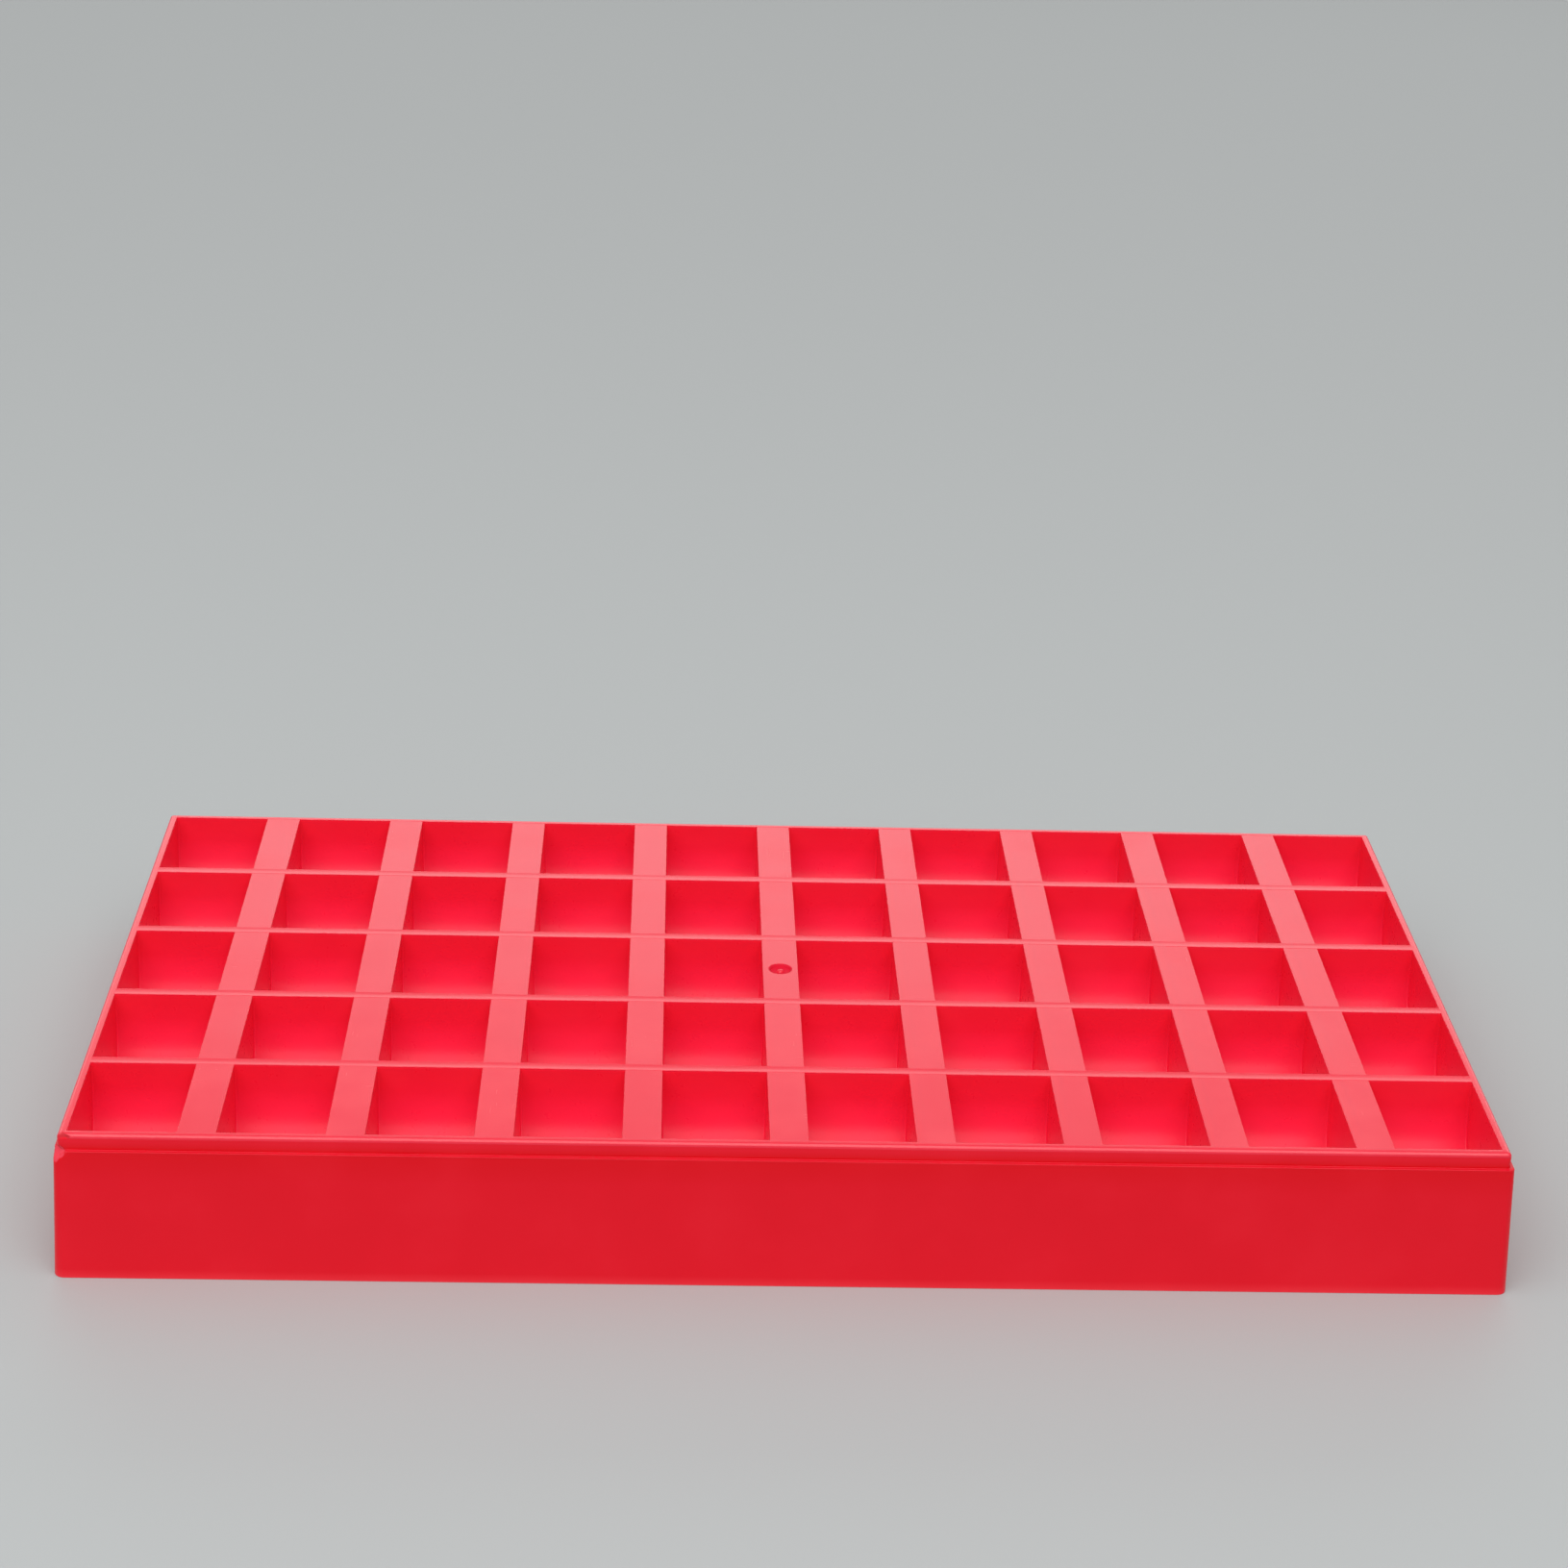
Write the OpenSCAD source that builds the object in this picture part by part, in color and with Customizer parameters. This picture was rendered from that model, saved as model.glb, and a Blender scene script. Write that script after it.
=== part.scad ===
// Coin counting tray: one moulding with a grid of pockets that cradle coins on edge, flat strips
// between the columns, walls between the rows, and a rebated rim that the next tray's foot fits over.
// X runs along the tray, Y across it and Z up. The origin is the middle of its underside.

/* [Coins] */
// Diameter of the coins that stand on edge in the pockets
coin_d = 25; // [18:0.1:32]
// Thickness of one coin
coin_t = 1.85; // [1.2:0.05:3.2]
// Coins that fill one pocket
coins_per_pocket = 10; // [5:1:20]
// Spare length of a full pocket, along its stack of coins
stack_play = 1.4; // [0.6:0.1:4]
// Spare width of a pocket, across its coins
edge_play = 1.8; // [0.6:0.1:4]
// Gap above a standing coin when another tray is stacked on this one
coin_clear = 0.1; // [0.1:0.05:3]

/* [Grid] */
// Columns of pockets along the tray
columns = 10; // [2:1:12]
// Rows of pockets across the tray
rows = 5; // [2:1:8]
// Width of the flat strip between two columns
strip_w = 7.1; // [6:0.1:14]
// Thickness of the strip's top web
web_t = 1.5; // [1:0.1:3]
// Depth of the strips below the top edges of the row walls
strip_drop = 0.15; // [0.05:0.05:0.5]
// Thickness of the wall between two rows, at its top edge
row_wall_t = 2.4; // [1.8:0.1:5]
// Depth of the straight throat of a pocket, from the rim to its half-round cradle
throat = 5.2; // [2:0.1:10]
// Thickness of the cradle shells
cradle_t = 0.7; // [0.6:0.1:1.5]
// Depth that the row walls reach down between the cradles, below the throat
wall_reach = 5; // [3:0.1:8]
// Thickness of the side walls that close both ends of a cradle
side_wall_t = 1.3; // [0.8:0.1:2]
// How far each pocket face leans in over the height of the tray, so that it leaves its mould
draft = 0.25; // [0.05:0.05:0.6]

/* [Outer walls and stacking] */
// Thickness of the raised stacking rim
rim_t = 1.6; // [1.2:0.1:3]
// Height of the stacking rim above its ledge
rim_h = 3.1; // [1:0.1:4]
// Radius of the rim's outer top edge
rim_edge_r = 0.8; // [0.2:0.1:1]
// Radius of the rim's corners, seen from above
rim_corner_r = 0.8; // [0.3:0.1:1]
// Width of the ledge outside the rim
ledge_w = 0.7; // [0.5:0.1:3]
// Radius of the outer walls' corners at the ledge, seen from above
wall_corner_r = 1; // [0.6:0.1:1.6]
// Distance that the outer walls spread from the ledge down to the foot
wall_flare = 1.1; // [0.1:0.05:1.5]
// Height of the thin foot, which takes in the rim of the tray beneath
foot_h = 4.3; // [4.2:0.1:7]
// Gap between the foot and the rim of the tray that it stacks on
nest_gap = 0.2; // [0.1:0.05:0.4]

/* [Gate mark] */
// Diameter of the shallow dimple where the plastic was fed in
gate_d = 4.2; // [2:0.1:5]
// Depth of the dimple
gate_depth = 0.5; // [0.2:0.1:0.8]
// Diameter of the broken-off stub in the dimple
stub_d = 1.4; // [0.8:0.1:1.8]
// Height of the stub
stub_h = 0.4; // [0.2:0.1:0.6]

/* [Hidden] */
// Segments of a full circle at the rounded corners and the gate mark
corner_fn = 48;
// Steps in the round of the rim's top edge
edge_steps = 4;
// Segments of a full circle in the cradles
cradle_fn = 28;
// Taper of the stub, as a share of its diameter
stub_tip_share = 0.6;
// Overrun of every cutting or trimming shape
over = 1;
// Moulded plastic
plastic = [0.86, 0.1, 0.16];

// Inside of one pocket at its mouth
pocket_x = coins_per_pocket * coin_t + stack_play;
pocket_y = coin_d + edge_play;
// Distance from one pocket to the next
pitch_x = pocket_x + strip_w;
pitch_y = pocket_y + row_wall_t;
// Space inside the outer walls at the rim
inner_x = columns * pitch_x - strip_w;
inner_y = rows * pitch_y - row_wall_t;
// Heights; two stacked trays stand ledge_z apart, which leaves room for a coin and a cradle shell
ledge_z = coin_d + cradle_t + coin_clear;
tray_h = ledge_z + rim_h;
strip_z = tray_h - strip_drop;
web_z = strip_z - web_t;
cradle_z = tray_h - throat;
joint_z = cradle_z - wall_reach;
// Inside radius of the half-round cradle, which meets the leaning throat without a step
cradle_r = pocket_y / 2 - lean(cradle_z);
// Place of the foot's inner face, outside the pocket faces
foot_in = rim_t + nest_gap;
// Axes that the rim and the outer walls turn their corners about, outside the pocket faces
rim_axis = rim_t - rim_corner_r;
wall_axis = rim_t + ledge_w - wall_corner_r;
// The pocket row and the strip that carry the gate mark
gate_strip = floor(columns / 2);
gate_row = ceil(rows / 2);

// Lean of a pocket face at height z, away from where it is at the rim
function lean(z) = draft * (tray_h - z) / tray_h;
// Distance of the outer face from the pocket face at height z
function outer(z) = rim_t + ledge_w + wall_flare * (ledge_z - z) / ledge_z;
// Left face of column c's pockets at the rim; front face and middle of row r's pockets
function column_x(c) = -inner_x / 2 + (c - 1) * pitch_x;
function row_y(r) = -inner_y / 2 + (r - 1) * pitch_y;
function middle_y(r) = row_y(r) + pocket_y / 2;
// The part of an outline that lies beyond an axis, measured from it
function beyond(axis, points) = [for (p = points) [max(p[0] - axis, 0), p[1]]];

// Outlines of the outer ring, as [distance outside the pocket face, height]
wall_points = [
    [-lean(foot_h), foot_h],
    [outer(foot_h), foot_h],
    [outer(ledge_z), ledge_z],
    [-lean(ledge_z), ledge_z]
];
rim_points = [
    [-lean(ledge_z), ledge_z],
    [rim_t, ledge_z],
    for (step = [0:edge_steps])
        let (turn = 90 * step / edge_steps) [
            rim_t - rim_edge_r * (1 - cos(turn)),
            tray_h - rim_edge_r * (1 - sin(turn))
        ],
    [0, tray_h]
];
foot_points = [
    [foot_in, 0],
    [outer(0), 0],
    [outer(foot_h), foot_h],
    [foot_in, foot_h]
];

// Carries an outline of X and Z along Y, over a length centred on the tray
module along_y(length) {
    rotate([90, 0, 0]) linear_extrude(height = length, center = true) children();
}

// Carries an outline of Y and Z along X, over a length centred on the tray
module along_x(length) {
    rotate([90, 0, 90]) linear_extrude(height = length, center = true) children();
}

// Section between two leaning faces; a sign of 1 leans its face to the plus side on the way down
module leaning_section(near, near_sign, far, far_sign, z_low, z_high) {
    polygon([
        [near + near_sign * lean(z_low), z_low],
        [far + far_sign * lean(z_low), z_low],
        [far + far_sign * lean(z_high), z_high],
        [near + near_sign * lean(z_high), z_high]
    ]);
}

// Round section of row r's cradle, with the height that it is cut off at
module round_section(r, radius, z_high) {
    intersection() {
        translate([middle_y(r), cradle_z]) circle(r = radius, $fn = cradle_fn);
        translate([middle_y(r) - radius - over, cradle_z - radius - over])
            square([2 * (radius + over), z_high - cradle_z + radius + over]);
    }
}

// What fills the corner between the cradles on both sides of the band from y_near to y_far
module haunch_section(y_near, y_far, cradle_rows) {
    difference() {
        translate([y_near, joint_z]) square([y_far - y_near, wall_reach]);
        for (r = cradle_rows)
            translate([middle_y(r), cradle_z]) circle(r = cradle_r, $fn = cradle_fn);
    }
}

// Keeps what lies between the row walls, so that one bar becomes a piece in each row
module in_each_row() {
    intersection() {
        children();
        along_x(inner_x + over)
            for (r = [1:rows])
                leaning_section(row_y(r), 1, row_y(r) + pocket_y, -1, cradle_z, tray_h + over);
    }
}

// Straight run of the ring along the front, from one corner's axis to the other's
module front_run(axis, points) {
    along_x(inner_x + 2 * axis) polygon([for (p = points) [-inner_y / 2 - p[0], p[1]]]);
}

// Straight run of the ring along the left side, from one corner's axis to the other's
module left_run(axis, points) {
    along_y(inner_y + 2 * axis) polygon([for (p = points) [-inner_x / 2 - p[0], p[1]]]);
}

// Front run with both rounded front corners, cut where it meets the side runs.
// Anything passed to it runs along the inside of the front and is cut in the same way.
module front_piece(axis, points) {
    difference() {
        union() {
            front_run(axis, points);
            along_x(inner_x) children();
        }
        left_run(axis, points);
        mirror([1, 0, 0]) left_run(axis, points);
    }
    for (side = [0, 1])
        mirror([side, 0, 0])
            translate([-inner_x / 2 - axis, -inner_y / 2 - axis, 0])
                rotate([0, 0, 180])
                    rotate_extrude(angle = 90, $fn = corner_fn) polygon(beyond(axis, points));
}

// Outer walls, up to the ledge; the long ones thicken inwards to meet the first and last cradles
module long_wall() {
    front_piece(wall_axis, wall_points) haunch_section(row_y(1) - rim_t, middle_y(1), [1]);
}
module front_wall() { color(plastic) long_wall(); }
module back_wall() { color(plastic) mirror([0, 1, 0]) long_wall(); }
module left_wall() { color(plastic) left_run(wall_axis, wall_points); }
module right_wall() { color(plastic) mirror([1, 0, 0]) left_run(wall_axis, wall_points); }

// Stacking rim, set in from the outer walls by the ledge
module front_rim() { color(plastic) front_piece(rim_axis, rim_points); }
module back_rim() { color(plastic) mirror([0, 1, 0]) front_piece(rim_axis, rim_points); }
module left_rim() { color(plastic) left_run(rim_axis, rim_points); }
module right_rim() { color(plastic) mirror([1, 0, 0]) left_run(rim_axis, rim_points); }

// Foot, a thin skirt below the walls that drops over the rim of the tray beneath
module front_foot() { color(plastic) front_piece(wall_axis, foot_points); }
module back_foot() { color(plastic) mirror([0, 1, 0]) front_piece(wall_axis, foot_points); }
module left_foot() { color(plastic) left_run(wall_axis, foot_points); }
module right_foot() { color(plastic) mirror([1, 0, 0]) left_run(wall_axis, foot_points); }

// Wall w, between rows w and w + 1, from side to side. Below the throat its faces spread with
// the two cradles beside it, and it ribs the hollow under every strip.
module row_wall(w) {
    color(plastic)
        intersection() {
            along_x(inner_x + over) {
                leaning_section(row_y(w) + pocket_y, -1, row_y(w + 1), 1, cradle_z, tray_h);
                haunch_section(middle_y(w), middle_y(w + 1), [w, w + 1]);
            }
            along_y(inner_y + over)
                leaning_section(-inner_x / 2, 1, inner_x / 2, -1, 0, tray_h + over);
        }
}

// Place of the gate mark, on top of its strip
module at_gate() {
    translate([
        column_x(gate_strip) + pocket_x + strip_w / 2,
        middle_y(gate_row),
        strip_z - gate_depth
    ]) children();
}

// Strip s, the flat web between columns s and s + 1, in one piece for each row
module column_strip(s) {
    color(plastic)
        difference() {
            in_each_row()
                along_y(inner_y + over)
                    leaning_section(column_x(s) + pocket_x, -1, column_x(s + 1), 1, web_z, strip_z);
            if (s == gate_strip)
                at_gate() cylinder(d = gate_d, h = gate_depth + over, $fn = corner_fn);
        }
}

// Side walls of column c's pockets, under the strips beside it: flat plates that close both ends
// of each cradle and follow its round underside. The outer walls close the outermost ends.
module pocket_sides(c) {
    left = column_x(c);
    right = left + pocket_x;
    color(plastic)
        intersection() {
            along_y(inner_y + over) {
                if (c > 1)
                    leaning_section(left - side_wall_t, 1, left, 1, 0, web_z);
                if (c < columns)
                    leaning_section(right, -1, right + side_wall_t, -1, 0, web_z);
            }
            along_x(inner_x + over)
                for (r = [1:rows]) {
                    leaning_section(row_y(r), 1, row_y(r) + pocket_y, -1, cradle_z, tray_h);
                    round_section(r, cradle_r, cradle_z);
                    round_section(r, cradle_r + cradle_t, joint_z);
                }
        }
}

// Cradles of column c's pockets: half-round shells that the coins stand in, hung between the
// feet of the row walls
module pocket_cradles(c) {
    left = column_x(c);
    color(plastic)
        intersection() {
            along_y(inner_y + over)
                leaning_section(left, 1, left + pocket_x, -1, 0, tray_h);
            along_x(inner_x + over)
                for (r = [1:rows])
                    difference() {
                        round_section(r, cradle_r + cradle_t, joint_z);
                        round_section(r, cradle_r, cradle_z);
                    }
        }
}

// Stub left in the gate mark's dimple
module gate_stub() {
    color(plastic)
        at_gate() cylinder(d1 = stub_d, d2 = stub_d * stub_tip_share, h = stub_h, $fn = corner_fn);
}

front_wall();
back_wall();
left_wall();
right_wall();
front_rim();
back_rim();
left_rim();
right_rim();
front_foot();
back_foot();
left_foot();
right_foot();
for (w = [1:rows - 1])
    row_wall(w);
for (s = [1:columns - 1])
    column_strip(s);
for (c = [1:columns])
    pocket_sides(c);
for (c = [1:columns])
    pocket_cradles(c);
gate_stub();
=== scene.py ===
import math

import bmesh
import bpy
import numpy as np
from mathutils import Matrix, Vector


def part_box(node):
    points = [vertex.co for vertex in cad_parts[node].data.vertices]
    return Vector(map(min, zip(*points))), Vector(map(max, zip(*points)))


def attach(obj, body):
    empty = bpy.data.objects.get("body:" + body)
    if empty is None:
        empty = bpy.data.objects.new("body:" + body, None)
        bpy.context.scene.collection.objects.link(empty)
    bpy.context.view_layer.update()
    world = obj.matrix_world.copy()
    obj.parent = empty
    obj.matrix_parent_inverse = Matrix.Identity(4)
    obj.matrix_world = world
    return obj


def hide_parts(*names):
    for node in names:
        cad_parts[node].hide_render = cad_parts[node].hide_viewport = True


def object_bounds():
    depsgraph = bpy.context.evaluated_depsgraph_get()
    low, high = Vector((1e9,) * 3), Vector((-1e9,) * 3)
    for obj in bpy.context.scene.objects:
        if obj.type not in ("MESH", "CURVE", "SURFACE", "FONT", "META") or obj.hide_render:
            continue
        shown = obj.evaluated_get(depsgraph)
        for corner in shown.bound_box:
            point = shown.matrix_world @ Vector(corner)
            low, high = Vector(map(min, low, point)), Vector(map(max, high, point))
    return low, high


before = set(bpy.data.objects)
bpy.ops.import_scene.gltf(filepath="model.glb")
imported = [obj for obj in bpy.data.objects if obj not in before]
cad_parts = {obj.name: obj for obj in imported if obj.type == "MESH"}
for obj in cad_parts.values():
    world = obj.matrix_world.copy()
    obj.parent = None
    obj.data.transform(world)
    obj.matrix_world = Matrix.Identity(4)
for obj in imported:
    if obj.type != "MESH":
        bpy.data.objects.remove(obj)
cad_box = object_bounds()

# The outer ring of the tray, which is one injection moulding in glossy red polypropylene: rim,
# ledge, wall and foot in one section, carried round. The rim is set in from the wall by the ledge,
# so that the foot of the next tray drops over it. The front left corner is chipped and dented.
mm = 0.001
columns, rows = 10, 5
mouth_x, mouth_y = 19.9 * mm, 26.8 * mm
strip_w, row_wall_t = 7.1 * mm, 2.4 * mm
pitch_x, pitch_y = mouth_x + strip_w, mouth_y + row_wall_t
inner_x, inner_y = columns * pitch_x - strip_w, rows * pitch_y - row_wall_t
rim_low, rim_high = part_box("front_rim")
foot_low, foot_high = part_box("front_foot")
tray_h, ledge_z, foot_h = rim_high.z, rim_low.z, foot_high.z
rim_t = -rim_low.y - inner_y / 2
foot_out = -foot_low.y - inner_y / 2
nest_gap, ledge_w = 0.2 * mm, 0.7 * mm
foot_in, ledge_out = rim_t + nest_gap, rim_t + ledge_w
rim_corner_r, wall_corner_r = 0.8 * mm, 1.0 * mm
rim_axis, wall_axis = rim_t - rim_corner_r, ledge_out - wall_corner_r
# Radii of the edges, the steps in an edge's arc and in a corner, and how sharp an edge stays one
edge_r, foot_edge_r, ledge_edge_r, rim_edge_r = 0.12 * mm, 0.1 * mm, 0.14 * mm, 0.8 * mm
step_r, foot_root_r, foot_inner_r = 0.1 * mm, 0.3 * mm, 0.25 * mm
seam_r, hair = 0.01 * mm, 0.001 * mm
arc_steps, corner_steps, sharp_angle = 6, 14, math.radians(35)
arc_points = arc_steps + 1
# A corner may be knocked, so rows of points stand close together above and below the ledge, and
# the sides have short steps next to the corners
rises = np.arange(1, 6) * 0.3 * mm
drops = np.arange(10, 0, -1) * 0.4 * mm
short_step, short_steps = 0.5 * mm, 6


def rounded(corners, radii):
    """Outline with an arc at each corner: centre on the bisector, both ends tangent to its edges."""
    p = np.array(corners, float)
    back, on = np.roll(p, 1, 0) - p, np.roll(p, -1, 0) - p
    back /= np.linalg.norm(back, axis=1, keepdims=True)
    on /= np.linalg.norm(on, axis=1, keepdims=True)
    half = np.arccos(np.clip((back * on).sum(1), -1, 1)) / 2
    r = np.array(radii, float)
    middle = back + on
    middle /= np.linalg.norm(middle, axis=1, keepdims=True)
    centre = p + middle * (r / np.sin(half))[:, None]
    start = p + back * (r / np.tan(half))[:, None] - centre
    end = p + on * (r / np.tan(half))[:, None] - centre
    turn = (np.pi - 2 * half)[:, None]
    s = np.linspace(0, 1, arc_points)[None, :]
    a, b = np.sin((1 - s) * turn) / np.sin(turn), np.sin(s * turn) / np.sin(turn)
    arcs = centre[:, None] + a[..., None] * start[:, None] + b[..., None] * end[:, None]
    return arcs.reshape(-1, 2)


def finished(name, points, faces, material):
    """Piece from points and faces.

    Doubles are merged, faces turned outwards, and edges past the sharp angle kept sharp."""
    mesh = bpy.data.meshes.new(name)
    mesh.from_pydata(points.tolist(), [], faces)
    work = bmesh.new()
    work.from_mesh(mesh)
    bmesh.ops.remove_doubles(work, verts=work.verts, dist=2 * hair)
    bmesh.ops.recalc_face_normals(work, faces=work.faces)
    work.to_mesh(mesh)
    work.free()
    mesh.shade_smooth()
    mesh.set_sharp_from_angle(angle=sharp_angle)
    mesh.materials.append(material)
    piece = bpy.data.objects.new(name, mesh)
    bpy.context.scene.collection.objects.link(piece)
    level = piece.modifiers.new("level", "WEIGHTED_NORMAL")
    level.keep_sharp = True
    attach(piece, "root")
    return piece


def skinned(name, rings, material, looped=False):
    """Closed mesh over rings of points: quads from each to the next, and flat caps unless looped."""
    m, n = rings.shape[:2]
    index = np.arange(m * n).reshape(m, n)
    here, there = (index, np.roll(index, -1, 0)) if looped else (index[:-1], index[1:])
    quads = np.stack([here, np.roll(here, -1, 1), np.roll(there, -1, 1), there], -1).reshape(-1, 4)
    faces = quads.tolist() + ([] if looped else [index[0, ::-1].tolist(), index[-1].tolist()])
    return finished(name, rings.reshape(-1, 3), faces, material)


def round_the_tray(section):
    """Section of (outward, up) carried round the pockets' rectangle.

    At each corner a point turns about an axis a little way outside the rectangle, and further out
    for the wall than for the rim. What lies inside its axis keeps a square corner."""
    quarter = np.linspace(0, np.pi / 2, corner_steps + 1)
    quarter = np.pad(quarter, short_steps, "edge")
    turn = (np.arange(4)[:, None] * np.pi / 2 + quarter[None, :]).ravel()
    past = np.abs(np.arange(len(quarter)) - len(quarter) // 2) - corner_steps // 2
    before = np.tile(past.clip(0) * short_step, 4)
    to_x = np.repeat([1, -1, -1, 1], len(quarter))
    to_y = np.repeat([1, 1, -1, -1], len(quarter))
    side_x = to_x * (inner_x / 2 - before * np.abs(np.sin(turn)))
    side_y = to_y * (inner_y / 2 - before * np.abs(np.cos(turn)))
    axis = np.interp(section[:, 0], [rim_t, ledge_out], [rim_axis, wall_axis])
    square = np.minimum(section[:, 0], axis)
    out = section[:, 0] - square
    x = side_x[:, None] + to_x[:, None] * square + out * np.cos(turn)[:, None]
    y = side_y[:, None] + to_y[:, None] * square + out * np.sin(turn)[:, None]
    z = np.broadcast_to(section[None, :, 1], x.shape)
    return np.stack([x, y, z], -1)


def knocked(points, centre, reach):
    """What lies nearer to centre than reach, by the sum of its three distances, pushed inwards.

    At a sharp corner this leaves a flat three-sided facet."""
    nearness = reach - np.abs(points - np.array(centre)).sum(-1)
    return points + np.clip(nearness, 0, None)[..., None] * np.array([0.5, 0.5, 0])


seam_z = tray_h - rim_edge_r
wall_section = rounded(
    [(foot_in, 0), (foot_out, 0), (ledge_out, ledge_z), (rim_t, ledge_z),
     (rim_t, seam_z), (0, seam_z), (0, foot_h), (foot_in, foot_h)],
    [foot_inner_r, foot_edge_r, ledge_edge_r, step_r, seam_r, seam_r, seam_r, foot_root_r])
flare = (foot_out - ledge_out) / ledge_z
over_ledge = np.stack([np.full(len(rises), rim_t), ledge_z + rises], -1)
under_ledge = np.stack([ledge_out + flare * drops, ledge_z - drops], -1)
wall_section = np.insert(wall_section, 4 * arc_points, over_ledge, 0)
wall_section = np.insert(wall_section, 2 * arc_points, under_ledge, 0)
rim_section = rounded([(rim_t, seam_z), (rim_t, tray_h), (0, tray_h), (0, seam_z)],
                      [hair, rim_edge_r - 2 * hair, edge_r, hair])

red, red_scuffed = (0.80, 0.0075, 0.036, 1), (0.84, 0.035, 0.055, 1)
# The chip's facet is painted lighter, a painted highlight, and the dent is painted darker, painted
# shade.
chip_painted_highlight, dent_painted_shade = (0.86, 0.06, 0.10, 1), (0.62, 0.003, 0.015, 1)
white, mottled = (1, 1, 1, 1), (0.97, 0.88, 0.9, 1)
# Noise in cycles per metre
swell_scale, cloud_scale, grain_scale = 38, 55, 900
scratch_scale, cross_scratch_scale = 2600, 1900
# Shares of the ripple's height
grain_height, scratch_depth, dent_depth = 0.02, 0.03, 3
# What grain, scuffs and scratches add to the roughness
grain_rough, worn_rough, scratch_rough = 0.04, 0.12, 0.1
worn_tint, painted_mark_share = 0.6, 0.8
dent_edge, dent_ragged = 0.3 * mm, 1.2 * mm


class Value:
    """A socket that can be written in an expression: +, - and * add Math nodes."""

    def __init__(self, tree, socket):
        self.tree, self.socket = tree, socket

    def math(self, operation, other, swapped=False):
        first, second = (other, self) if swapped else (self, other)
        return self.tree.add("ShaderNodeMath", {"operation": operation}, {0: first, 1: second})

    def __add__(self, other):
        return self.math("ADD", other)

    def __sub__(self, other):
        return self.math("SUBTRACT", other)

    def __rsub__(self, other):
        return self.math("SUBTRACT", other, swapped=True)

    def __mul__(self, other):
        return self.math("MULTIPLY", other)

    __radd__ = __add__
    __rmul__ = __mul__


class Tree:
    """A node tree with one method that adds any node, sets it up and feeds its sockets."""

    def __init__(self, owner):
        owner.use_nodes = True
        self.nodes, self.links = owner.node_tree.nodes, owner.node_tree.links
        self.nodes.clear()

    def add(self, kind, settings=None, inputs=None, output=0):
        node = self.nodes.new(kind)
        for name, setting in (settings or {}).items():
            if name == "stops":
                ramp = node.color_ramp
                ramp.elements[0].position, ramp.elements[0].color = setting[0]
                ramp.elements[1].position, ramp.elements[1].color = setting[-1]
                for place, colour in setting[1:-1]:
                    ramp.elements.new(place).color = colour
            else:
                setattr(node, name, setting)
        for name, given in (inputs or {}).items():
            if isinstance(given, Value):
                self.links.new(given.socket, node.inputs[name])
            else:
                node.inputs[name].default_value = given
        return Value(self, node.outputs[output]) if node.outputs else None

    def blend(self, share, first, second, kind="MIX"):
        """Colour from first to second, or to their product for MULTIPLY, as share goes from 0 to 1."""
        return self.add("ShaderNodeMix", {"data_type": "RGBA", "blend_type": kind},
                        {0: share, 6: first, 7: second}, output=2)

    def noise(self, scale, detail, stretch=(1, 1, 1)):
        """Noise on object coordinates, in cycles per metre, drawn out by the three stretch factors."""
        place = self.add("ShaderNodeTexCoord", output=3)
        place = self.add("ShaderNodeMapping", inputs={"Vector": place, "Scale": stretch})
        return self.add("ShaderNodeTexNoise", inputs={
            "Vector": place, "Scale": scale, "Detail": detail, "Roughness": 0.5})

    def step(self, value, low, high):
        """0 below low, 1 above high and smooth between."""
        return self.add("ShaderNodeMapRange", {"interpolation_type": "SMOOTHSTEP"}, {
            "Value": value, "From Min": low, "From Max": high})

    def distances_to(self, centre):
        """Sum of the distances to centre along the three axes."""
        place = self.add("ShaderNodeTexCoord", output=3)
        away = self.add("ShaderNodeVectorMath", {"operation": "SUBTRACT"}, {0: place, 1: centre})
        away = self.add("ShaderNodeVectorMath", {"operation": "ABSOLUTE"}, {0: away})
        return self.add("ShaderNodeVectorMath", {"operation": "DOT_PRODUCT"},
                        {0: away, 1: (1, 1, 1)}, output=1)


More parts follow.
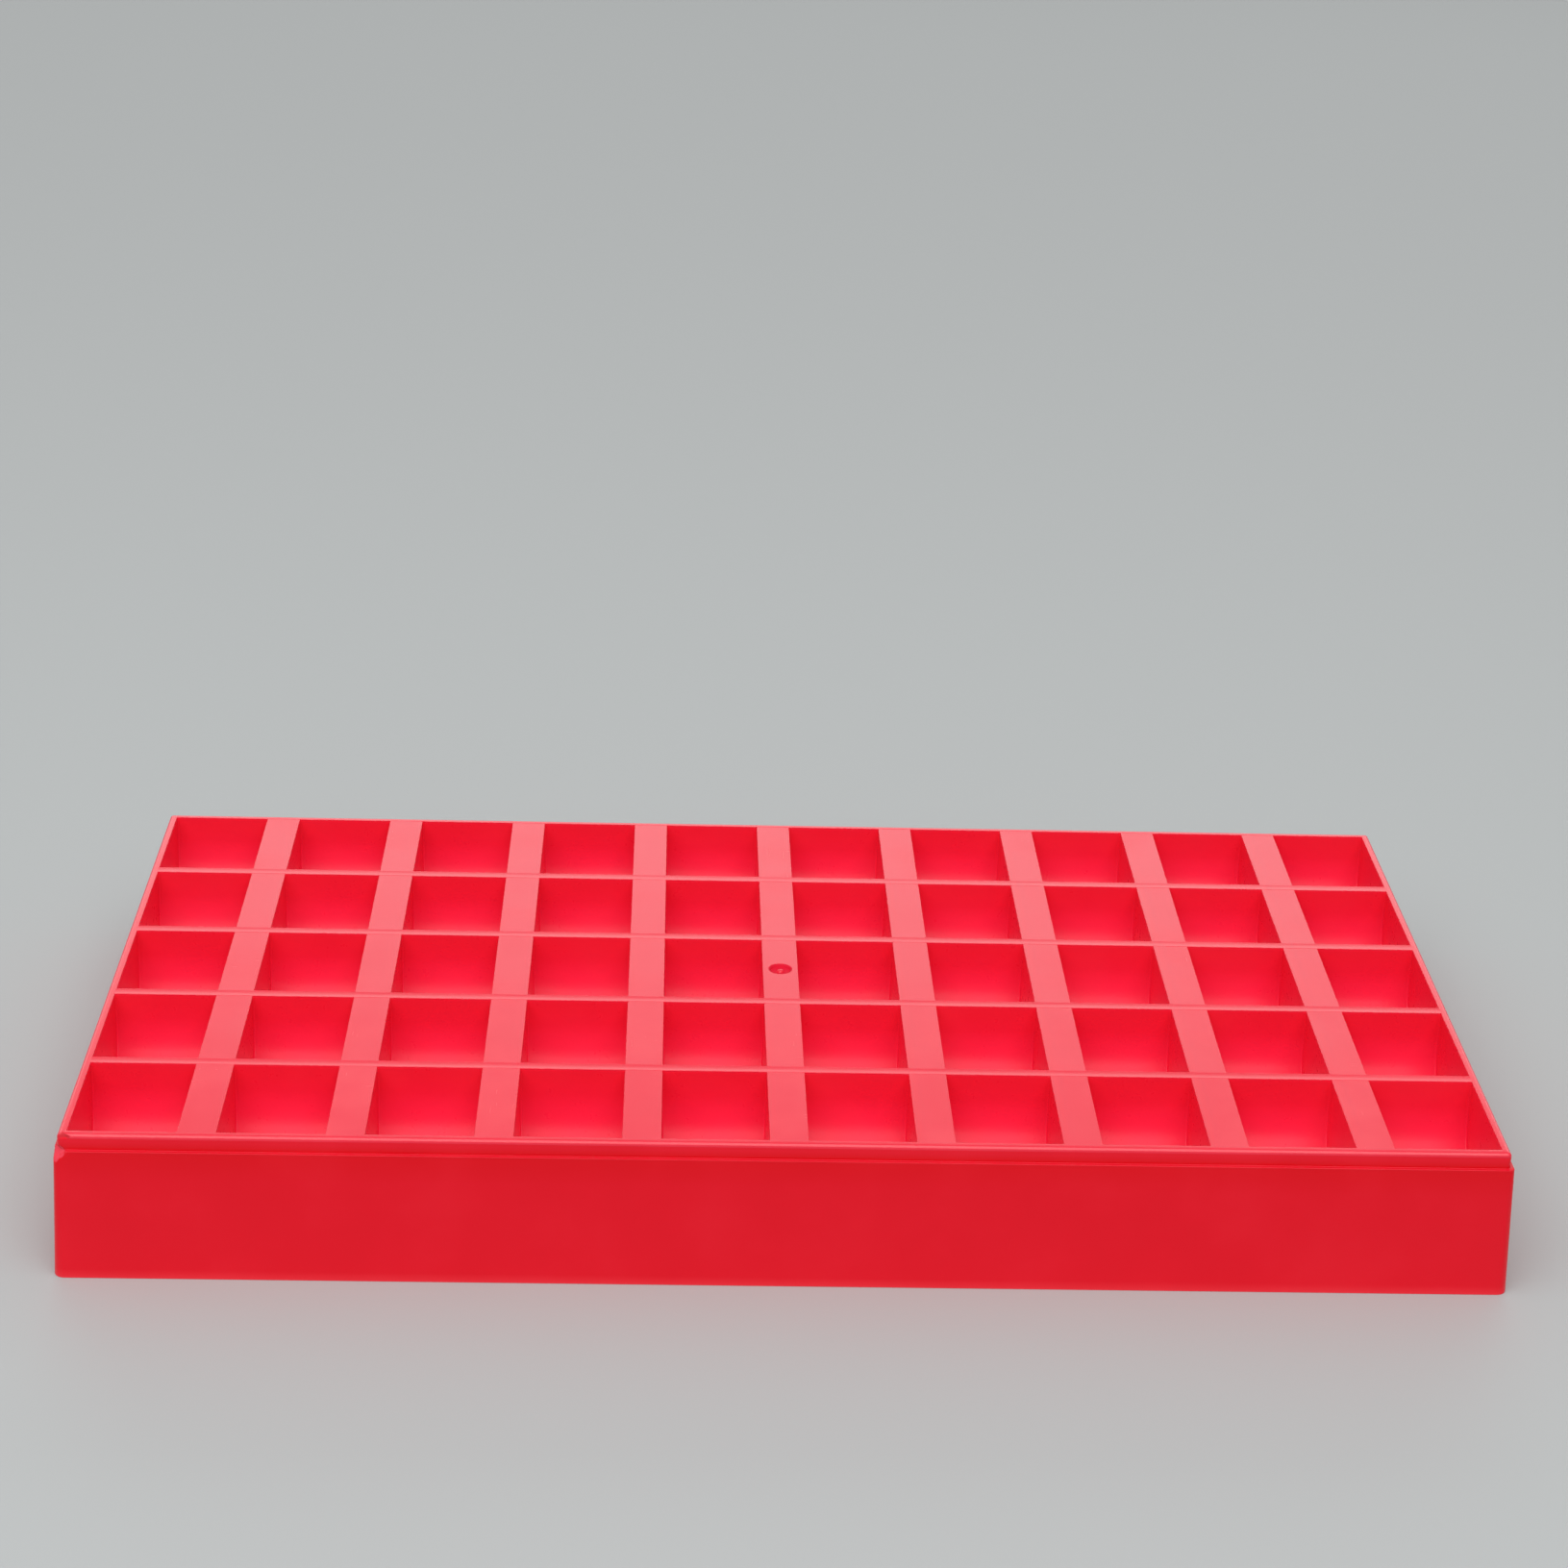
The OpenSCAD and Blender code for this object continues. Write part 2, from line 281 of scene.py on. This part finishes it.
def tray_plastic(name, scuffs, ripple, base=red, gloss=0.2, sheen=0.5, marks=()):
    """Glossy red plastic, coloured all through. The pockets glow where light bounces, and part of that
    glow is painted into their colour.

    The mould leaves a faint ripple, its height in metres, and handling leaves a share of scuffs
    and fine scratches. base is a colour, or a list of colours by their share of the tray's height,
    which can paint light and shade by height. marks are dents, each a place, a reach by the sum
    of the three distances, and a colour, which paints the mark's light or shade."""
    material = bpy.data.materials.new(name)
    tree = Tree(material)
    cloud = tree.noise(cloud_scale, 3)
    grain = tree.noise(grain_scale, 2)
    scratch = tree.noise(scratch_scale, 1, stretch=(1, 0.03, 1))
    cross_scratch = tree.noise(cross_scratch_scale, 1, stretch=(0.05, 1, 1))
    worn = tree.step(cloud, 0.45, 0.72) * scuffs
    scratches = (tree.step(scratch, 0.68, 0.76) + tree.step(cross_scratch, 0.70, 0.78)) * worn
    colour = base
    if isinstance(base, list):
        place = tree.add("ShaderNodeTexCoord", output=3)
        level = tree.add("ShaderNodeSeparateXYZ", inputs={"Vector": place}, output=2)
        level = level * (1 / cad_box[1].z)
        colour = tree.add("ShaderNodeValToRGB", {"stops": base}, {"Fac": level})
    mottle = tree.blend(tree.step(cloud, 0.3, 0.7), mottled, white)
    colour = tree.blend(1.0, colour, mottle, "MULTIPLY")
    colour = tree.blend(worn * worn_tint, colour, red_scuffed)
    height = tree.noise(swell_scale, 1) + grain * grain_height - scratches * scratch_depth
    for centre, reach, tint in marks:
        away = tree.distances_to(centre) + (grain - 0.5) * dent_ragged
        dent = 1 - tree.step(away, reach, reach + dent_edge)
        # the mark's colour is painted light or shade
        colour = tree.blend(dent * painted_mark_share, colour, tint)
        height = height - dent * dent_depth
    rough = gloss + (grain - 0.5) * grain_rough + worn * worn_rough + scratches * scratch_rough
    bump = tree.add("ShaderNodeBump", inputs={"Strength": 1.0, "Distance": ripple, "Height": height})
    shader = tree.add("ShaderNodeBsdfPrincipled", inputs={
        "Base Color": colour, "Roughness": rough, "Normal": bump,
        "IOR": 1.49, "Specular IOR Level": sheen})
    tree.add("ShaderNodeOutputMaterial", inputs={"Surface": shader})
    return material


# Colours by share of the tray's height. Besides the red itself they paint light and shade: lighter
# towards the foot, a painted reflection of the floor, and painted shade under the ledge, on the ledge
# and low on the rim's face.
red_with_painted_light_by_height = [
    (0.0, (0.90, 0.035, 0.055, 1)),  # lighter at the foot's edge: painted reflection of the floor
    (0.02, (0.87, 0.02, 0.036, 1)),
    (0.065, (0.82, 0.0055, 0.02, 1)),  # face of the wall, lighter towards the bottom: painted light
    (0.35, (0.80, 0.0045, 0.0185, 1)),
    (0.7, (0.79, 0.0035, 0.017, 1)),
    # painted shade band under the ledge
    (0.86, (0.76, 0.001, 0.01, 1)),
    (0.8892, (0.74, 0.001, 0.01, 1)),
    (0.8915, (0.68, 0.009, 0.027, 1)),  # painted shade on the ledge, pinker for a painted highlight along its edge
    (0.894, (0.68, 0.009, 0.027, 1)),
    (0.897, (0.74, 0.0005, 0.006, 1)),  # face of the rim, darker just above the ledge: painted shade
    (0.95, (0.83, 0.007, 0.024, 1))]
# The chip at this corner and the dent on the rim beside it get painted light: a painted highlight on the
# chip, painted shade in the dent.
corner = Vector((-inner_x / 2 - ledge_out, -inner_y / 2 - ledge_out, ledge_z))
dent_place = corner + Vector((1.8, 0.7, 2.6)) * mm
chip_reach, dent_reach = 2.6 * mm, 1.2 * mm
ring_plastic = tray_plastic("ring_plastic", 0.1, 0.03 * mm, red_with_painted_light_by_height, sheen=0.22,
                            marks=[(corner, chip_reach, chip_painted_highlight)])
rim_plastic = tray_plastic("rim_plastic", 0.2, 0.03 * mm, sheen=0.65,
                           marks=[(dent_place, dent_reach, dent_painted_shade)])
wall_points = knocked(round_the_tray(wall_section), corner, chip_reach)
rim_points = knocked(round_the_tray(rim_section), dent_place, dent_reach)
outer_wall = skinned("outer_wall", wall_points, ring_plastic, looped=True)
rim_top = skinned("rim_top", rim_points, rim_plastic, looped=True)
sides = ("front", "back", "left", "right")
rims, walls, feet = ([f"{side}_{part}" for side in sides] for part in ("rim", "wall", "foot"))
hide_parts(*walls, *feet, *rims)
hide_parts(*rims)

# The row walls: four cross walls that run the whole length of the tray and carry on under the
# strips as ribs. Below the pockets' throats they spread with the round cradles on both sides. Their
# flat tops have sunk a hair in the middle, so the front half of each top is the brighter one.
cradle_t, draft, throat = 0.7 * mm, 0.25 * mm, 5.2 * mm
joint_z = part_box("pocket_cradles_1")[1].z
cradle_z, cradle_r = tray_h - throat, mouth_y / 2 - draft * throat / tray_h
hollow, root_r, into_shell, into_end = 0.03 * mm, 0.15 * mm, 0.1 * mm, 0.3 * mm
hollow_steps = 10
row_wall_plastic = tray_plastic("row_wall_plastic", 0.2, 0.02 * mm)
# Depths below the throat, and how far a wall's flank, just inside the cradle's shell, then lies
# from the middle of the pocket
below = np.array([5, 4, 3, 2, 0]) * mm
cradle_reach = np.sqrt((cradle_r + into_shell) ** 2 - below ** 2)


def along_x(section, half):
    """Section of (across, up) carried along X, from half before the tray's middle to half past it."""
    x = np.broadcast_to(np.array([-half, half])[:, None], (2, len(section)))
    across = np.broadcast_to(section[None, :, 0], x.shape)
    up = np.broadcast_to(section[None, :, 1], x.shape)
    return np.stack([x, across, up], -1)


for wall in range(1, rows):
    middle = -inner_y / 2 + wall * pitch_y - row_wall_t / 2
    right = np.stack([middle + pitch_y / 2 - cradle_reach, cradle_z - below], -1)
    left = right[::-1] * [-1, 1] + [2 * middle, 0]
    top = [(middle + row_wall_t / 2, tray_h), (middle - row_wall_t / 2, tray_h)]
    flank_r = [seam_r] * 4
    section = rounded([*right, *top, *left],
                      [root_r, *flank_r, edge_r, edge_r, *flank_r, root_r])
    across = np.linspace(1, -1, hollow_steps + 1)[1:-1]
    sunk = np.stack([middle + across * (row_wall_t / 2 - edge_r),
                     tray_h - hollow * (1 - across ** 2)], -1)
    section = np.insert(section, 6 * arc_points, sunk, 0)
    piece = skinned(f"row_wall_{wall}", along_x(section, inner_x / 2 + into_end), row_wall_plastic)
    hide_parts(f"row_wall_{wall}")

# The haunches: the inner edges of the two long walls, which thicken below the throats to meet the
# cradles of the first and the last row. They are part of the same moulding as the walls.
haunch_t = 0.8 * mm
for side, name in ((-1, "front_haunch"), (1, "back_haunch")):
    face = inner_y / 2 + haunch_t
    cradle_side = np.stack([inner_y / 2 - mouth_y / 2 + cradle_reach, cradle_z - below], -1)
    section = np.concatenate([[(face, cradle_z), (face, joint_z)], cradle_side])
    skinned(name, along_x(section * [side, 1], inner_x / 2), row_wall_plastic)

# The column strips: flat webs between the columns, a hair lower than the row walls that cross them.
# The thin plastic has sunk slightly in the middle of each stretch as it cooled, over its hollow.
# Each stretch runs a little way into the row walls at its ends.
strip_drop, sink, seat = 0.04 * mm, 0.03 * mm, 0.1 * mm
steps_across, steps_along = 8, 16
strip_z = tray_h - strip_drop
web_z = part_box("column_strip_1")[0].z
strip_plastic = tray_plastic("strip_plastic", 0.5, 0.08 * mm)
gate_column, gate_row = columns // 2, (rows + 1) // 2


def row_edges(row):
    """Front and back face of a row's pockets, at the rim."""
    front = -inner_y / 2 + (row - 1) * pitch_y
    return front, front + mouth_y


def strip_stretch(middle_x, row):
    """One stretch of strip: a rounded web section along Y, its top lowered by a parabola each way."""
    half = strip_w / 2
    flat = half - edge_r
    section = rounded([(-half, web_z), (half, web_z), (half, strip_z), (-half, strip_z)],
                      [seam_r, seam_r, edge_r, edge_r])
    top = np.linspace(flat, -flat, steps_across + 1)[1:-1]
    top = np.stack([top, np.full(len(top), strip_z)], -1)
    section = np.insert(section, 3 * arc_points, top, 0)
    front, back = row_edges(row)
    t = np.linspace(-1, 1, steps_along + 1)
    y = (front + back) / 2 + t * (mouth_y / 2 + seat)
    across = np.clip(1 - (section[:, 0] / flat) ** 2, 0, 1) * (section[:, 1] > strip_z - hair)
    x = np.broadcast_to(middle_x + section[None, :, 0], (len(y), len(section)))
    z = section[None, :, 1] - sink * (1 - t ** 2)[:, None] * across[None, :]
    return np.stack([x, np.broadcast_to(y[:, None], x.shape), z], -1)


def together(name, parts, material, capped=True):
    """Several shells in one piece, each an array of rings, all of one shape, with or without caps."""
    parts = np.stack(parts)
    k, m, n = parts.shape[:3]
    index = np.arange(k * m * n).reshape(k, m, n)
    here, there = index[:, :-1], index[:, 1:]
    quads = np.stack([here, np.roll(here, -1, 2), np.roll(there, -1, 2), there], -1).reshape(-1, 4)
    caps = index[:, 0, ::-1].tolist() + index[:, -1].tolist() if capped else []
    return finished(name, parts.reshape(-1, 3), quads.tolist() + caps, material)


for strip in range(1, columns):
    middle = -inner_x / 2 + strip * pitch_x - strip_w / 2
    stretches = [strip_stretch(middle, row) for row in range(1, rows + 1)
                 if not (strip == gate_column and row == gate_row)]
    piece = together(f"column_strip_{strip}", stretches, strip_plastic)
    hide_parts(f"column_strip_{strip}")

# The pocket cups: the half-round cradle of every pocket with the flat plates that close its ends,
# and the soft inside corners of a moulding. They hang from the strips and between the row walls,
# and a thin skin of each lines the walls round its throat.
side_wall_t, lining_t, skin = 1.3 * mm, 0.3 * mm, 0.02 * mm
corner_r, sharp_r, lip_drop = 0.3 * mm, 0.02 * mm, 0.3 * mm
cradle_steps = 24
# Colours by share of the tray's height: lighter than the ring's red, and pinker low in the cradles, as
# painted glow and painted reflection of the light down in the pockets.
red_with_painted_glow_by_depth = [
    (0.0, (0.91, 0.0155, 0.070, 1)),
    (0.57, (0.91, 0.0155, 0.068, 1)),  # middle of the cradles
    (0.72, (0.91, 0.0175, 0.064, 1)),
    (0.83, (0.91, 0.0160, 0.052, 1)),  # lower end of the throats
    (0.93, (0.90, 0.0150, 0.042, 1)),
    (1.0, (0.90, 0.0150, 0.041, 1))]
well_plastic = tray_plastic("well_plastic", 0.2, 0.5 * mm, red_with_painted_glow_by_depth, gloss=0.28, sheen=0.27)
# A rounded rectangle's four arcs: the angle of each point, and whether it is on the right or back
corner_arc = np.linspace(0, np.pi / 2, arc_points)
angle = (np.arange(4)[:, None] * np.pi / 2 + corner_arc[None, :]).ravel()[None, :]
on_right = np.repeat([1, 0, 0, 1], arc_points)[None, :]
on_back = np.repeat([1, 1, 0, 0], arc_points)[None, :]


def cup(column, row):
    """One cup: rings from the seam under its outside up to its lip, and down inside to the middle.

    Round the axis of the cradle, a ring at angle t has its long sides at radius r and its short
    sides on the end plates at radius r less the corner's, so both come together at the lowest
    line, where t is a right angle. At both ends of the tray the plate is the outer wall, which
    the cup only lines."""
    x0 = -inner_x / 2 + (column - 1) * pitch_x
    y_middle = row_edges(row)[0] + mouth_y / 2
    left = side_wall_t if column > 1 else lining_t
    right = side_wall_t if column < columns else lining_t
    t = np.linspace(np.pi / 2, 0, cradle_steps + 1)
    t = np.concatenate([t, [0], [0], t[::-1]])
    inside = np.arange(len(t)) >= len(t) // 2
    rise = np.zeros(len(t))
    rise[len(t) // 2 - 1: len(t) // 2 + 1] = throat - lip_drop
    radius = np.where(inside, cradle_r - skin, cradle_r + cradle_t)[:, None]
    bend = np.where(inside, corner_r, sharp_r)[:, None]
    x_low = np.where(inside, x0 + skin, x0 - left)[:, None] + bend
    x_high = np.where(inside, x0 + mouth_x - skin, x0 + mouth_x + right)[:, None] - bend
    out = radius - bend + bend * np.abs(np.sin(angle))
    up = cradle_z + rise[:, None] - out * np.sin(t)[:, None]
    lean = draft * (tray_h - up) / tray_h * inside[:, None]
    x = np.where(on_right, x_high - lean, x_low + lean) + bend * np.cos(angle)
    y = y_middle + np.where(on_back, out, -out) * np.cos(t)[:, None]
    return np.stack([x, y, up], -1)


for column in range(1, columns + 1):
    cups = [cup(column, row) for row in range(1, rows + 1)]
    piece = together(f"pocket_cups_{column}", cups, well_plastic, capped=False)
    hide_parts(f"pocket_sides_{column}", f"pocket_cradles_{column}")

# The gate mark: the plastic was fed in at the middle of the tray. A shallow dimple keeps the rough
# stub that breaks off there below the surface. The mould is rough there, so the dimple is dull. It
# takes the place of one stretch of strip, with a web round it.
gate_low, gate_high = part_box("gate_stub")
gate_x, gate_y = (gate_low.x + gate_high.x) / 2, (gate_low.y + gate_high.y) / 2
gate_r, gate_lip_w, gate_lip_drop = 2.1 * mm, 0.35 * mm, 0.2 * mm
dish_r, gate_depth = gate_r + gate_lip_w, strip_z - gate_low.z
nearly_round, lip_steps = 0.98, 4
red_dull = (0.70, 0.0075, 0.034, 1)


def rectangles(x_low, x_high, y_low, y_high, radius, z):
    """Rings of rounded rectangles, one for each entry of the arrays given."""
    x_low, x_high, y_low, y_high, radius, z = (
        np.asarray(v, float)[:, None]
        for v in np.broadcast_arrays(x_low, x_high, y_low, y_high, radius, z))
    x = np.where(on_right, x_high - radius, x_low + radius) + radius * np.cos(angle)
    y = np.where(on_back, y_high - radius, y_low + radius) + radius * np.sin(angle)
    return np.stack([x, y, np.broadcast_to(z, x.shape)], -1)


def circles(radii, heights, lean=0):
    """Level rings round the gate's axis, each moved along X by its lean."""
    r, x = np.array(radii, float), gate_x + lean
    return rectangles(x - r, x + r, gate_y - r, gate_y + r, r * nearly_round, heights)


def gate_stretch():
    """The stretch of strip round the dimple: from the dimple's lip out to the edges and back under."""
    half_x, half_y = strip_w / 2, mouth_y / 2 + seat
    turn = np.linspace(np.pi / 2, 0, lip_steps + 1)
    edge_x = half_x - edge_r * (1 - np.cos(turn))
    drop = edge_r * (1 - np.sin(turn))
    over = rectangles(gate_x - edge_x, gate_x + edge_x, gate_y - half_y, gate_y + half_y,
                      sharp_r, strip_z - drop)
    under = rectangles([gate_x - half_x], [gate_x + half_x], [gate_y - half_y], [gate_y + half_y],
                       sharp_r, [web_z])
    return np.concatenate([circles([dish_r], [strip_z]), over, under, circles([dish_r], [web_z])])


def gate_dish():
    """The dimple: from the web's underside up to the lip, over a soft edge and down to a flat middle."""
    turn = np.linspace(np.pi / 2, 0, lip_steps + 1)
    lip_r = gate_r + gate_lip_w * np.sin(turn)
    lip_z = strip_z - gate_lip_drop * (1 - np.sin(turn)) ** 2
    floor_r = np.array([gate_r - 0.12 * mm, gate_r - 0.5 * mm, 0.6 * mm])
    floor_z = strip_z - gate_depth + np.array([0.1, 0, 0]) * mm
    return circles([dish_r, *lip_r, *floor_r], [web_z, *lip_z, *floor_z])


def gate_stub_rings():
    """A blunt stub with a torn, slightly leaning tip: circles that shrink as they rise."""
    r = np.array([0.75, 0.68, 0.6, 0.5, 0.3, 0.08]) * mm
    z = gate_low.z + np.array([-0.05, 0.12, 0.25, 0.34, 0.39, 0.4]) * mm
    return circles(r, z, lean=np.array([0, 0, 0.02, 0.05, 0.1, 0.12]) * mm)


gate_plastic = tray_plastic("gate_plastic", 0.3, 0.05 * mm, red_dull, gloss=0.6, sheen=0.1)
stub_plastic = tray_plastic("stub_plastic", 0.6, 0.2 * mm, gloss=0.3)
gate_web = skinned("gate_web", gate_stretch(), strip_plastic, looped=True)
gate_dimple = skinned("gate_dimple", gate_dish(), gate_plastic)
stub = skinned("gate_stub", gate_stub_rings(), stub_plastic)
for piece in (gate_web, gate_dimple):
    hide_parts(f"column_strip_{gate_column}")
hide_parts("gate_stub")

# The stage: a plain pale floor and a soft surround, with a large soft lamp above the front and a
# wide low one behind, whose light glances off the strips.
floor_half = 6.0
floor_mesh = bpy.data.meshes.new("floor")
floor_mesh.from_pydata([(-floor_half, -floor_half, 0), (floor_half, -floor_half, 0),
                        (floor_half, floor_half, 0), (-floor_half, floor_half, 0)], [], [(0, 1, 2, 3)])
floor = bpy.data.objects.new("floor", floor_mesh)
bpy.context.scene.collection.objects.link(floor)
floor_material = bpy.data.materials.new("pale_floor")
tree = Tree(floor_material)
pale = tree.add("ShaderNodeBsdfPrincipled", inputs={
    "Base Color": (0.42, 0.44, 0.44, 1), "Roughness": 0.6})
tree.add("ShaderNodeOutputMaterial", inputs={"Surface": pale})
floor_mesh.materials.append(floor_material)

world = bpy.data.worlds.new("soft_surround")
bpy.context.scene.world = world
tree = Tree(world)
ambient = tree.add("ShaderNodeBackground", inputs={"Color": white, "Strength": 0.55})
tree.add("ShaderNodeOutputWorld", inputs={"Surface": ambient})


def lamp(name, place, width, height, watts):
    """A soft rectangular lamp at place, turned to face the tray."""
    light = bpy.data.lights.new(name, "AREA")
    light.shape = "RECTANGLE"
    light.size, light.size_y, light.energy = width, height, watts
    holder = bpy.data.objects.new(name, light)
    holder.location = place
    holder.rotation_euler = (-Vector(place)).to_track_quat("-Z", "Y").to_euler()
    bpy.context.scene.collection.objects.link(holder)


lamp("front_lamp", (-0.1, -0.6, 1.04), width=1.6, height=1.4, watts=14.5)
lamp("back_lamp", (0.1, 1.6, 0.62), width=2.4, height=0.45, watts=4.1)

# The camera, at the photograph's viewing angle: above the front, turned a little to the right.
image_px, focal_px, sensor_w = 1631, 3545, 36
camera_place = Vector((-23.0, -621.2, 301.0)) * mm + Vector((0, 0, tray_h))
look_down, look_right, roll = math.radians(22.735), math.radians(2.082), math.radians(1.780)
camera_data = bpy.data.cameras.new("camera")
camera_data.sensor_width = sensor_w
camera_data.lens = focal_px / image_px * sensor_w
camera = bpy.data.objects.new("camera", camera_data)
turned = Matrix.Rotation(-look_right, 4, "Z") @ Matrix.Rotation(math.pi / 2 - look_down, 4, "X")
camera.matrix_world = Matrix.Translation(camera_place) @ turned @ Matrix.Rotation(roll, 4, "Z")
bpy.context.scene.collection.objects.link(camera)
bpy.context.scene.camera = camera
bpy.context.scene.view_settings.view_transform = "Standard"
